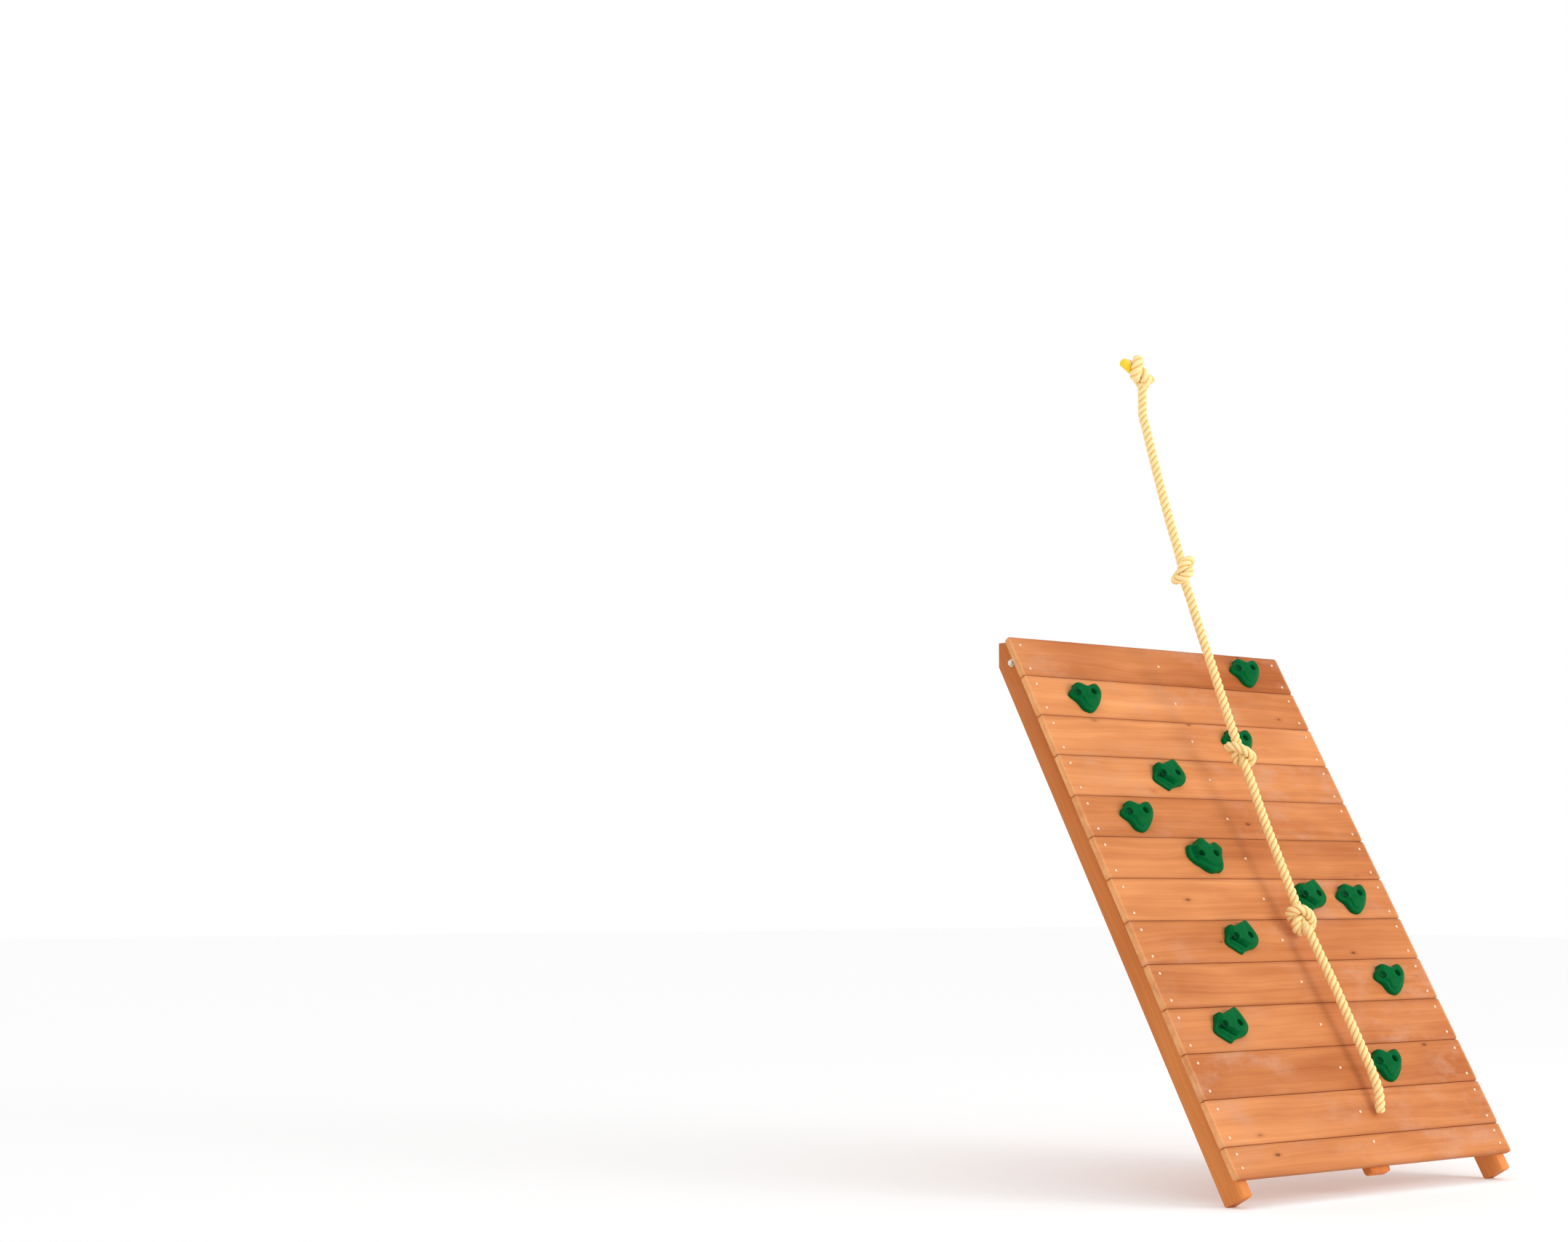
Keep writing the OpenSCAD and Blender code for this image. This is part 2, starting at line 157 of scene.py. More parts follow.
class Shader:
    """A Principled material, with short names for the nodes that feed it."""

    def __init__(self, name, **sockets):
        self.material = bpy.data.materials.new(name)
        self.material.use_nodes = True
        self.tree = self.material.node_tree
        self.bsdf = self.tree.nodes["Principled BSDF"]
        for key, value in sockets.items():
            self.bsdf.inputs[key.replace("_", " ")].default_value = value

    def node(self, kind, inputs=(), **settings):
        made = self.tree.nodes.new(kind)
        for key, value in settings.items():
            setattr(made, key, value)
        for key, value in dict(inputs).items():
            self.feed(made.inputs[key], value)
        return made

    def feed(self, socket, value):
        if isinstance(value, bpy.types.NodeSocket):
            self.tree.links.new(value, socket)
        else:
            socket.default_value = value

    def coords(self, scale, offset=(0, 0, 0)):
        """The object's own coordinates, scaled along each axis and shifted."""
        vector = self.node("ShaderNodeTexCoord").outputs["Object"]
        return self.mapped(vector, scale, offset)

    def mapped(self, vector, scale, offset):
        inputs = {"Vector": vector, "Scale": scale, "Location": offset}
        return self.node("ShaderNodeMapping", inputs).outputs["Vector"]

    def noise(self, vector, detail=3.0, rough=0.55, warp=0.0):
        inputs = {"Vector": vector, "Scale": 1.0, "Detail": detail, "Roughness": rough}
        inputs["Distortion"] = warp
        return self.node("ShaderNodeTexNoise", inputs).outputs["Fac"]

    def ramp(self, factor, *stops):
        """Grey levels or colours at places from 0 to 1, given as (place, level) pairs."""
        made = self.node("ShaderNodeValToRGB", {"Fac": factor})
        elements = made.color_ramp.elements
        while len(elements) < len(stops):
            elements.new(0.5)
        for element, (place, colour) in zip(elements, stops):
            element.position = place
            value = colour if hasattr(colour, "__len__") else (colour,) * 3
            element.color = (*value, 1)
        return made.outputs["Color"]

    def fade(self, distance, reach, start, end):
        """1 at distances under start times reach, falling to 0 at end times reach."""
        return self.ramp(self.math("DIVIDE", distance, reach), (start, 1.0), (end, 0.0))

    def math(self, operation, a, b=0.0, clamp=False):
        settings = {"operation": operation, "use_clamp": clamp}
        return self.node("ShaderNodeMath", {0: a, 1: b}, **settings).outputs[0]

    def vector_math(self, operation, *vectors):
        inputs = dict(enumerate(vectors))
        return self.node("ShaderNodeVectorMath", inputs, operation=operation).outputs[0]

    def mix(self, factor, a, b):
        made = self.node("ShaderNodeMix", {0: factor}, data_type="RGBA")
        self.feed(made.inputs[6], a)
        self.feed(made.inputs[7], b)
        return made.outputs[2]

    def tint(self, colour, mask, strength, tinge):
        """Part of the way from one colour to another, where the mask is above 0."""
        return self.mix(self.math("MULTIPLY", mask, strength), colour, tinge)

    def bump(self, height, distance, strength):
        inputs = {"Height": height, "Distance": distance, "Strength": strength}
        return self.node("ShaderNodeBump", inputs).outputs["Normal"]

    def set(self, key, value):
        self.feed(self.bsdf.inputs[key], value)


def rgba(red, green, blue):
    """A colour given as it looks on a screen, 0 to 255, as a linear one."""
    def linear(c):
        c /= 255
        return c / 12.92 if c <= 0.04045 else ((c + 0.055) / 1.055) ** 2.4
    return (linear(red), linear(green), linear(blue), 1)


# Each pair is the colour of the dark and of the light grain
PALE_STAIN = (rgba(216, 136, 78), rgba(240, 164, 104))
DEEP_STAIN = (rgba(158, 80, 32), rgba(192, 109, 52))
PALE_FRAME = (rgba(214, 126, 58), rgba(240, 154, 84))
DEEP_FRAME = (rgba(182, 90, 26), rgba(208, 114, 38))

KNOT, KNOT_HALO = rgba(96, 48, 22), rgba(168, 88, 40)
SCUFFED, SEAM = rgba(208, 150, 118), rgba(140, 72, 34)
# The second colour lightens the planks' end edges: partly rubbed wear, partly a painted highlight
# on these edges
END_GRAIN, RUBBED_AND_HIGHLIT = rgba(236, 170, 112), rgba(246, 196, 138)


def wood(name, seed, tones, width, ends, pale=PALE_STAIN, deep=DEEP_STAIN, knots=0.55, scuffs=0.7):
    """Stained softwood with its grain along local X.

    tones gives how pale it is at its left and right ends, and ends how far these are from its
    middle. knots is the share of the pattern's cells that hold a knot.
    """
    s = Shader(name, Specular_IOR_Level=0.18)
    shift = (seed * 3.71, seed * 1.93, seed * 0.77)
    place = s.node("ShaderNodeSeparateXYZ", {"Vector": s.coords((1, 1, 1))}).outputs
    dark, light = stain_colours(s, shift, place["X"], tones, ends, pale, deep)
    figure, fibre_lines = grain(s, shift)
    colour = s.mix(s.ramp(figure, (0.30, 0.0), (0.68, 1.0)), dark, light)
    colour = s.tint(colour, s.ramp(fibre_lines, (0.35, 1.0), (0.6, 0.0)), 0.20, dark)
    colour = add_knots(s, shift, colour, knots)
    colour = add_marks(s, shift, colour, dark, scuffs)

    edge = s.math("SUBTRACT", width / 2, s.math("ABSOLUTE", place["Y"]))
    colour = s.tint(colour, s.fade(edge, 0.012, 0.1, 0.9), 0.30, SEAM)
    tip = s.math("SUBTRACT", ends, s.math("ABSOLUTE", place["X"]))
    colour = s.tint(colour, s.fade(tip, 0.02, 0.05, 0.6), 0.35, END_GRAIN)
    # Lighter patches along the ends' edges: partly rubbed wear, partly a painted highlight where
    # the front faces meet the end faces
    worn = s.ramp(s.noise(s.coords((20, 26, 60), shift)), (0.40, 0.0), (0.72, 1.0))
    corner = s.fade(tip, 0.006, 0.05, 1.0)
    colour = s.tint(colour, s.math("MULTIPLY", corner, worn), 0.4, RUBBED_AND_HIGHLIT)
    s.set("Base Color", colour)
    s.set("Roughness", s.ramp(fibre_lines, (0.3, 0.52), (0.7, 0.68)))
    height = s.math("ADD", s.math("MULTIPLY", fibre_lines, 0.5), s.math("MULTIPLY", figure, 0.5))
    s.set("Normal", s.bump(height, 0.0012, 0.5))
    return s.material


def stain_colours(s, shift, x, tones, ends, pale, deep):
    """The dark and the light grain's colours, from one end's tone to the other's, in patches."""
    across = s.math("ADD", s.math("DIVIDE", x, 2 * ends), 0.5, clamp=True)
    patches = s.math("SUBTRACT", s.noise(s.coords((2.4, 9, 9), shift), detail=2), 0.5)
    tone = s.math("ADD", s.math("MULTIPLY", across, tones[1] - tones[0]), tones[0])
    tone = s.math("ADD", tone, s.math("MULTIPLY", patches, 1.1), clamp=True)
    return s.mix(tone, deep[0], pale[0]), s.mix(tone, deep[1], pale[1])


def grain(s, shift):
    """The broad figure of the rings and the fine fibres, both bent a little along the board."""
    wave = s.math("SUBTRACT", s.noise(s.coords((2.2, 5, 5), shift), detail=2), 0.5)
    sway = s.node("ShaderNodeCombineXYZ", {"Y": s.math("MULTIPLY", wave, 0.05)}).outputs[0]
    bent = s.vector_math("ADD", s.coords((1, 1, 1)), sway)
    rings = s.noise(s.mapped(bent, (0.55, 36, 36), shift), detail=4, rough=0.62, warp=0.3)
    bands = s.noise(s.mapped(bent, (1.6, 120, 120), shift), rough=0.65)
    fine = s.noise(s.mapped(bent, (14, 620, 620), shift), detail=2, rough=0.7)
    figure = s.math("ADD", s.math("MULTIPLY", rings, 0.6), s.math("MULTIPLY", bands, 0.4))
    return figure, fine


def add_knots(s, shift, colour, share):
    """Small dark knots with a halo, in some of the cells of a stretched pattern."""
    inputs = {"Vector": s.coords((90, 160, 160)), "Detail": 2.0}
    wobble = s.node("ShaderNodeTexNoise", inputs).outputs["Color"]
    vector = s.vector_math("MULTIPLY_ADD", wobble, (0.07,) * 3, s.coords((5.5, 13, 4), shift))
    inputs = {"Vector": vector, "Scale": 1.0, "Randomness": 0.9}
    cells = s.node("ShaderNodeTexVoronoi", inputs).outputs
    draw = s.node("ShaderNodeSeparateColor", {"Color": cells["Color"]}).outputs["Red"]
    chosen = s.math("LESS_THAN", draw, share)
    for start, end, strength, tinge in ((0.04, 0.17, 0.40, KNOT_HALO), (0.038, 0.078, 0.75, KNOT)):
        near = s.ramp(cells["Distance"], (start, 1.0), (end, 0.0))
        colour = s.tint(colour, s.math("MULTIPLY", near, chosen), strength, tinge)
    return colour


def add_marks(s, shift, colour, dark, scuffs):
    """Pale scuffs in a few places, and darker blotches of stain."""
    worn = s.noise(s.coords((7, 13, 13), (shift[1], shift[0], 0)), detail=5, rough=0.6)
    where = s.noise(s.coords((1.5, 3, 3), (shift[2], shift[1], 0)), detail=1)
    worn, where = s.ramp(worn, (0.47, 0.0), (0.70, 1.0)), s.ramp(where, (0.42, 0.0), (0.60, 1.0))
    colour = s.tint(colour, s.math("MULTIPLY", worn, where), scuffs, SCUFFED)
    blotch = s.noise(s.coords((5, 22, 22), (shift[2], shift[0], 0)), detail=4, rough=0.6)
    return s.tint(colour, s.ramp(blotch, (0.56, 0.0), (0.74, 1.0)), 0.45, dark)


def plastic():
    """Deep green moulded plastic with a fine sand-like grain."""
    s = Shader("hold_plastic", Roughness=0.38, Specular_IOR_Level=0.03)
    mottle = s.ramp(s.noise(s.coords((22, 22, 22))), (0.35, 0.0), (0.7, 1.0))
    s.set("Base Color", s.mix(mottle, rgba(0, 91, 42), rgba(0, 103, 51)))
    fine = s.noise(s.coords((900, 900, 900)), detail=2)
    lumps = s.noise(s.coords((70, 70, 70)), detail=2)
    height = s.math("ADD", s.math("MULTIPLY", fine, 0.3), lumps)
    s.set("Normal", s.bump(height, 0.0016, 0.35))
    return s.material


def metal(name, colour, rough, speckle=260.0, metallic=1.0, shine=0.5):
    """Plated or coated steel: slightly uneven in tone and polish."""
    s = Shader(name, Metallic=metallic, Specular_IOR_Level=shine)
    spangle = s.noise(s.coords((speckle,) * 3))
    pale = tuple(min(1.0, c * 1.12) for c in colour[:3]) + (1,)
    s.set("Base Color", s.mix(spangle, colour, pale))
    s.set("Roughness", s.ramp(spangle, (0.3, rough * 0.8), (0.7, rough * 1.25)))
    s.set("Normal", s.bump(spangle, 0.0003, 0.3))
    return s.material


def fibre():
    """Cream rope fibre: pale yarns, with painted shade as a deeper gold in the furrows."""
    s = Shader("rope_fibre", Roughness=0.82, Specular_IOR_Level=0.2)
    depth = s.node("ShaderNodeVertexColor", layer_name="depth").outputs["Color"]
    crest = s.mix(s.noise(s.coords((60, 60, 60))), rgba(255, 227, 160), rgba(255, 235, 178))
    # Painted shade: the strands turn a deeper gold towards their inner sides, in the furrows
    raised = s.ramp(depth, (0.15, 0.0), (0.85, 1.0))
    s.set("Base Color", s.mix(raised, rgba(250, 194, 102), crest))
    hairs = s.noise(s.coords((1400, 1400, 420)), detail=2)
    s.set("Normal", s.bump(hairs, 0.0008, 0.5))
    return s.material


# ---- Mesh helpers ----

SHARP = math.radians(38)


def piece(name, mesh, material, body="root", replaces=(), place=Matrix.Identity(4)):
    """Adds a finished mesh to the scene, riding on its CAD body."""
    if isinstance(mesh, bmesh.types.BMesh):
        data = bpy.data.meshes.new(name)
        bmesh.ops.recalc_face_normals(mesh, faces=mesh.faces)
        mesh.to_mesh(data)
        mesh.free()
    else:
        data = mesh
    data.shade_smooth()
    data.set_sharp_from_angle(angle=SHARP)
    data.materials.append(material)
    made = bpy.data.objects.new(name, data)
    made.matrix_world = place
    bpy.context.scene.collection.objects.link(made)
    if body:
        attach(made, body)
    if replaces:
        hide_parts(*replaces)
    return made


def arc(cx, cy, radius, start, turn, steps):
    """Points of an arc, angles in degrees."""
    return [
        (cx + radius * math.cos(math.radians(start + turn * i / steps)),
         cy + radius * math.sin(math.radians(start + turn * i / steps)))
        for i in range(steps + 1)
    ]


def loft(bm, rings):
    """Joins closed rings of points, each with the same count, into a skin with flat ends."""
    made = [[bm.verts.new(p) for p in ring] for ring in rings]
    for low, high in zip(made, made[1:]):
        for i in range(len(low)):
            j = (i + 1) % len(low)
            bm.faces.new((low[i], low[j], high[j], high[i]))
    bm.faces.new(list(reversed(made[0])))
    bm.faces.new(made[-1])
    return made


def lathe(bm, profile, steps, place):
    """Turns (radius, height) points about Z into a closed solid."""
    angles = [2 * math.pi * i / steps for i in range(steps)]
    loft(bm, [
        [place @ Vector((radius * math.cos(a), radius * math.sin(a), height)) for a in angles]
        for radius, height in profile
    ])


def prism(outline, depth, bevel):
    """An outline in XY pushed up Z by depth, with eased edges."""
    bm = bmesh.new()
    bottom = bm.faces.new([bm.verts.new((x, y, 0)) for x, y in outline])
    top = bmesh.ops.extrude_face_region(bm, geom=[bottom])
    moved = [v for v in top["geom"] if isinstance(v, bmesh.types.BMVert)]
    bmesh.ops.translate(bm, vec=(0, 0, depth), verts=moved)
    bmesh.ops.recalc_face_normals(bm, faces=bm.faces)
    sharp = [e for e in bm.edges
             if len(e.link_faces) == 2 and e.calc_face_angle(0) > math.radians(40)]
    bmesh.ops.bevel(bm, geom=sharp, offset=bevel, segments=2, profile=0.5, affect="EDGES")
    return bm


def catmull_rom(a, b, c, d, t):
    """The point a part t of the way from b to c on the curve through all four."""
    return 0.5 * (2 * b + (c - a) * t + (2 * a - 5 * b + 4 * c - d) * t * t
                  + (3 * b - 3 * c + d - a) * t ** 3)


def smooth_line(points, spacing):
    """A Catmull-Rom line through points, with a point every spacing or so."""
    line = []
    for i in range(len(points) - 1):
        a, b = points[max(i - 1, 0)], points[i]
        c, d = points[i + 1], points[min(i + 2, len(points) - 1)]
        steps = max(1, round((c - b).length / spacing))
        line += [catmull_rom(a, b, c, d, k / steps) for k in range(steps)]
    line.append(points[-1])
    return line


# ---- Rope ----

STRANDS = 3
YARNS = 7
YARN_LAY = 0.045
STRAND_CENTRE, STRAND_RADIUS = 0.52 * ROPE_D / 2, 0.48 * ROPE_D / 2
# A strand is wider around the rope than it is deep, and its yarns stand this far proud
STRAND_SPREAD, YARN_RIDGE = 1.22, 0.035
ROPE_STEP = 0.0026

# Knots: their size, the turn of each on the rope, and the stopper knot's lie and proportions
KNOT_SCALE = 0.93
KNOT_TURNS = (20, 200, 150)
STOPPER_AXIS, STOPPER_TURN, STOPPER_SHAPE = Vector((1, 0, -0.35)), 60, (1.04, 1.04, 1.32, 1.0)

# The yellow end: its centre line, its radius and where along it the tip starts to round off
TAIL = (Vector((-0.028, -0.031, 0.960)), Vector((-0.078, -0.031, 0.986)))
TAIL_RADIUS, TAIL_TIP = 0.0146, 0.80


def twisted(line, thickness):
    """Three laid strands along a line, as one mesh. thickness(i) scales the rope at point i."""
    ahead, behind = line[1:] + line[-1:], line[:1] + line[:-1]
    tangents = [(b - a).normalized() for a, b in zip(behind, ahead)]
    side = tangents[0].orthogonal().normalized()
    frames = []
    for t in tangents:
        side = (side - t * side.dot(t)).normalized()
        frames.append((side, t.cross(side)))
    walked = [0.0]
    for a, b in zip(line, line[1:]):
        walked.append(walked[-1] + (b - a).length)
    around = 3 * YARNS
    angles = [2 * math.pi * j / around for j in range(around)]
    bm = bmesh.new()
    depth = bm.verts.layers.float_color.new("depth")
    for k in range(STRANDS):
        rings = []
        for i, point in enumerate(line):
            phase = 2 * math.pi * (k / STRANDS + walked[i] / LAY)
            side, other = frames[i]
            out = side * math.cos(phase) + other * math.sin(phase)
            across = other * math.cos(phase) - side * math.sin(phase)
            turned = walked[i] * 2 * math.pi / YARN_LAY
            ring = []
            for angle in angles:
                radius = STRAND_RADIUS * (1 + YARN_RIDGE * math.cos(YARNS * angle - turned))
                high = STRAND_CENTRE + radius * math.cos(angle)
                wide = STRAND_SPREAD * radius * math.sin(angle)
                ring.append(point + thickness(i) * (out * high + across * wide))
            rings.append(ring)
        for ring in loft(bm, rings):
            for angle, vertex in zip(angles, ring):
                height = 0.5 + 0.5 * math.cos(angle)
                vertex[depth] = (height, height, height, 1)
    return bm


def overhand(diameter, reach, points=64, steps=900):
    """Centre line of an overhand knot, with its ends at reach above and below its middle.

    It starts as a loose trefoil and is drawn in, while points of the rope that overlap are
    pushed apart, until the rope touches itself.
    """
    limit = 2.1
    t = np.linspace(-limit, limit, points)
    trefoil = [0.6 * (t ** 3 - 3 * t), 0.6 * (t ** 4 - 4 * t ** 2), 0.14 * (t ** 5 - 10 * t)]
    line = diameter * np.stack(trefoil, 1)
    line[:, 1] -= line[0, 1] * np.abs(t / limit) ** 3
    line[0] = (0, 0, reach if line[0, 2] > 0 else -reach)
    line[-1] = -line[0]
    # The middle of the knot is held on the rope's line more firmly than its ends
    grip = np.sin(np.linspace(0, np.pi, points))[:, None] ** 2
    apart = np.abs(np.subtract.outer(np.arange(points), np.arange(points)))
    for _ in range(steps):
        line[1:-1] += 0.3 * ((line[:-2] + line[2:]) / 2 - line[1:-1])
        middle = (line.max(0) + line.min(0)) / 2
        line[:, :2] -= 0.05 * grip * middle[:2]
        # Points closer than a diameter, and not near each other along the rope, move apart
        spacing = np.linalg.norm(np.diff(line, axis=0), axis=1).mean()
        for _ in range(3):
            gap = line[:, None] - line[None]
            distance = np.linalg.norm(gap, axis=2) + 1e-9
            touching = (apart >= math.ceil(1.9 * diameter / spacing)) & (distance < diameter)
            push = np.where(touching, (diameter - distance) / 2, 0)
            move = (gap / distance[..., None] * push[..., None]).sum(1)
            move /= np.maximum(touching.sum(1), 1)[:, None]
            move[0] = move[-1] = 0
            line += move
        # The points are spread evenly along the line again
        run = np.concatenate([[0], np.cumsum(np.linalg.norm(np.diff(line, axis=0), axis=1))])
        even = np.linspace(0, run[-1], points)
        line = np.stack([np.interp(even, run, line[:, axis]) for axis in range(3)], 1)
    return [Vector(p) for p in line]


def taper(count, start, end, low):
    """Thickness along count points that narrows to low over the first start and last end ones."""
    def thickness(i):
        a = min(1.0, i / start) if start else 1.0
        b = min(1.0, (count - 1 - i) / end) if end else 1.0
        return low + (1 - low) * math.sqrt(max(0.0, min(a, b) * (2 - min(a, b))))
    return thickness


def along_rope(centre, direction, turn):
    """A placement with local Z down the rope at a point."""
    z = direction.normalized()
    x = Vector((0, 1, 0)).cross(z).normalized()
    basis = Matrix((x, z.cross(x), z)).transposed().to_4x4()
    return Matrix.Translation(centre) @ basis @ Matrix.Rotation(math.radians(turn), 4, "Z")


def add_dipped_end():
    """The rope's upper end, dipped in yellow so that it doesn't fray."""
    s = Shader("rope_dip", Roughness=0.45, Specular_IOR_Level=0.3)
    tone = s.noise(s.coords((90, 90, 90)))
    s.set("Base Color", s.mix(tone, rgba(246, 206, 24), rgba(250, 222, 60)))
    s.set("Normal", s.bump(tone, 0.001, 0.4))
    start, end = TAIL
    run = end - start
    side = Vector((0, 1, 0))
    other = run.normalized().cross(side)
    steps, around = 16, 36
    rings = []
    for k in range(steps + 1):
        t = k / steps
        over = max(0.0, (t - TAIL_TIP) / (1 - TAIL_TIP))
        radius = TAIL_RADIUS * math.sqrt(max(0.02, 1 - 0.96 * over * over))
        turned = 2 * math.pi * t * run.length / LAY
        ring = []
        for j in range(around):
            angle = 2 * math.pi * j / around
            lobed = 1 + 0.05 * math.cos(STRANDS * (angle - turned)) * (1 - over)
            out = side * math.cos(angle) + other * math.sin(angle)
            ring.append(start + run * t + radius * lobed * out)
        rings.append(ring)
    bm = bmesh.new()
    loft(bm, rings)
    return piece("rope_dipped_end", bm, s.material, "root")


def add_rope(material):
    """The rope from its stopper knot to its bare end, and the knots on it."""
    exit_point = Vector(EXIT)
    top = exit_point + Vector((0, 0, BEAM + 0.004))
    line = smooth_line([top, exit_point + Vector((0, 0, 0.03))] + ROUTE, ROPE_STEP)
    tip = taper(len(line), 0, 8, 0.45)

    def thickness(i):
        """Full thickness, less inside the knots so that the rope's own strands stay hidden."""
        near = min((line[i] - centre).length for centre in KNOTS.values())
        return tip(i) * (0.6 + 0.4 * min(1.0, max(0.0, (near - 0.018) / 0.012)))

    cord = piece("rope", twisted(line, thickness), material, body=None,
                 replaces=["rope_neck", "rope_run_1", "rope_run_2", "rope_run_3", "rope_run_4"])
    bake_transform(cord)

    tied = smooth_line([KNOT_SCALE * p for p in overhand(0.92 * ROPE_D, 0.058)], ROPE_STEP)
    shape = twisted(tied, taper(len(tied), 7, 7, 0.4))
    for (name, centre), turn in zip(KNOTS.items(), KNOT_TURNS):
        i = min(range(len(line)), key=lambda k: (line[k] - centre).length)
        place = along_rope(centre, line[i + 4] - line[i - 4], turn)
        piece(name + "_tied", shape.copy(), material, "rope_fall",
                           [name], place)
    place = along_rope(TOP_KNOT, STOPPER_AXIS, STOPPER_TURN) @ Matrix.Diagonal(STOPPER_SHAPE)
    piece("rope_stopper_knot", shape, material, "root",
                       ["rope_top_knot"], place)
    add_dipped_end()


# ---- Planks and frame ----

def plank_place(i):
    """Wall placement of plank i, counted from 1, with its origin in the middle of its face."""
    width = plank_width(i)
    return WALL @ Matrix.Translation((0, -(i - 1) * PITCH - width / 2, 0))


def plank_width(i):
    return PITCH if i <= FULL_PLANKS else LAST_WIDTH


def plank_mesh(width, seed):
    """A board with eased long edges, rounded corners and slightly wandering edges."""
    ease, corner, wander, warp = 0.003, 0.006, 0.0003, 0.0004
    half_l, half_w = LENGTH / 2, (width - GAP) / 2
    turns = [math.radians(a) for a in (0, 20, 40, 55, 68, 79, 90)]
    cuts = [half_l - corner + corner * math.sin(a) for a in turns]
    inner = [half_l - corner - 0.012 * k for k in range(1, 4)]
    spread = [-0.55 + 1.1 * k / 44 for k in range(45)]
    stations = sorted(set([-c for c in cuts] + [-c for c in inner] + spread + inner + cuts))
    bm = bmesh.new()
    rings = []
    for x in stations:
        over = max(0.0, abs(x) - (half_l - corner))
        pull = corner - math.sqrt(max(0.0, corner ** 2 - over ** 2))
        up = half_w - pull - wander * (1 + noise.noise((x * 9, seed, 0.3)))
        low = -half_w + pull + wander * (1 + noise.noise((x * 9, seed, 7.3)))
        rise = warp * noise.noise((x * 4, seed, 3.1))
        worn = ease * (1 + 0.35 * noise.noise((x * 14, seed, 5.2)))
        profile = arc(up - worn, -worn + rise, worn, 0, 90, 3)
        profile += [(low + (up - low) * k / 8, rise) for k in range(7, 0, -1)]
        profile += arc(low + worn, -worn + rise, worn, 90, 90, 3)
        profile += arc(low + ease, -THICK + ease, ease, 180, 90, 3)
        profile += arc(up - ease, -THICK + ease, ease, 270, 90, 3)
        rings.append([(x, y, z) for y, z in profile])
    loft(bm, rings)
    return bm


# How pale each plank is at its left and right ends
PLANK_TONES = [
    (0.55, 0.00), (0.95, 0.30), (0.65, 0.82), (0.80, 0.50), (0.45, 0.40),
    (0.60, 0.08), (0.72, 0.42), (0.40, 0.40), (0.40, 0.40), (0.52, 0.25),
    (0.25, 0.22), (0.85, 0.20), (0.60, 0.42),
]


def add_planks():
    for i in range(1, PLANKS + 1):
        name = f"plank_{i:02d}"
        width = plank_width(i)
        stain = wood(name + "_wood", i, PLANK_TONES[i - 1], width, LENGTH / 2)
        piece(name + "_board", plank_mesh(width, i), stain,
              replaces=[name], place=plank_place(i))


# Frame timber: its figure runs past its own ends, and it has few knots and scuffs
FRAME_STAIN = {"ends": 2.0, "pale": PALE_FRAME, "deep": DEEP_FRAME, "knots": 0.4, "scuffs": 0.2}


def add_rafters():
    """The two rafters, cut level and plumb at the top and square at the foot."""
    foot, radius = WALL_HEIGHT + FOOT_PAST, 0.008
    sine, cosine = math.sin(SLOPE), math.cos(SLOPE)

    def corner(inward, up):
        """Slope distance and depth of a point inward of the planks' top edge and above it."""
        return (-(inward * cosine + up * sine), up * cosine - inward * sine)

    level = (LEVEL_TOP * cosine + THICK) / sine
    plumb = (BACK + TOP_OUT * sine) / cosine
    outline = [corner(TOP_OUT, plumb), corner(TOP_OUT, LEVEL_TOP), corner(level, LEVEL_TOP)]
    outline += reversed(arc(foot - radius, -THICK - radius, radius, 0, 90, 4))
    outline += reversed(arc(foot - radius, BACK + radius, radius, 270, 90, 4))
    for name, x, seed in (("stringer_left", -RAFTER_X, 21), ("stringer_right", RAFTER_X, 22)):
        stain = wood(name + "_wood", seed, (-0.75, 1.15), RAFTER_DEPTH, **FRAME_STAIN)
        left = x - RAFTER_WIDTH / 2
        turn = Matrix(((0, 0, 1, left), (-1, 0, 0, 0), (0, 1, 0, 0), (0, 0, 0, 1)))
        piece(name + "_timber", prism(outline, RAFTER_WIDTH, 0.0016), stain,
              replaces=[name], place=WALL @ turn)


def add_batten():
    """The flat batten behind the middle of the planks."""
    half_w, radius = BATTEN_WIDTH / 2, 0.010
    half_l = (WALL_HEIGHT + BATTEN_PAST - BATTEN_START) / 2
    outline = []
    for sx, sy, start in ((1, 1, 0), (-1, 1, 90), (-1, -1, 180), (1, -1, 270)):
        outline += arc(sx * (half_l - radius), sy * (half_w - radius), radius, start, 90, 4)
    stain = wood("batten_wood", 31, (0.3, 0.6), BATTEN_WIDTH, **FRAME_STAIN)
    middle, back = -half_l - BATTEN_START, -THICK - BATTEN_THICK
    turn = Matrix(((0, -1, 0, BATTEN_X), (1, 0, 0, middle), (0, 0, 1, back), (0, 0, 0, 1)))
    piece("batten_board", prism(outline, BATTEN_THICK, 0.0012), stain,
          replaces=["centre_batten"], place=WALL @ turn)


# ---- Holds ----

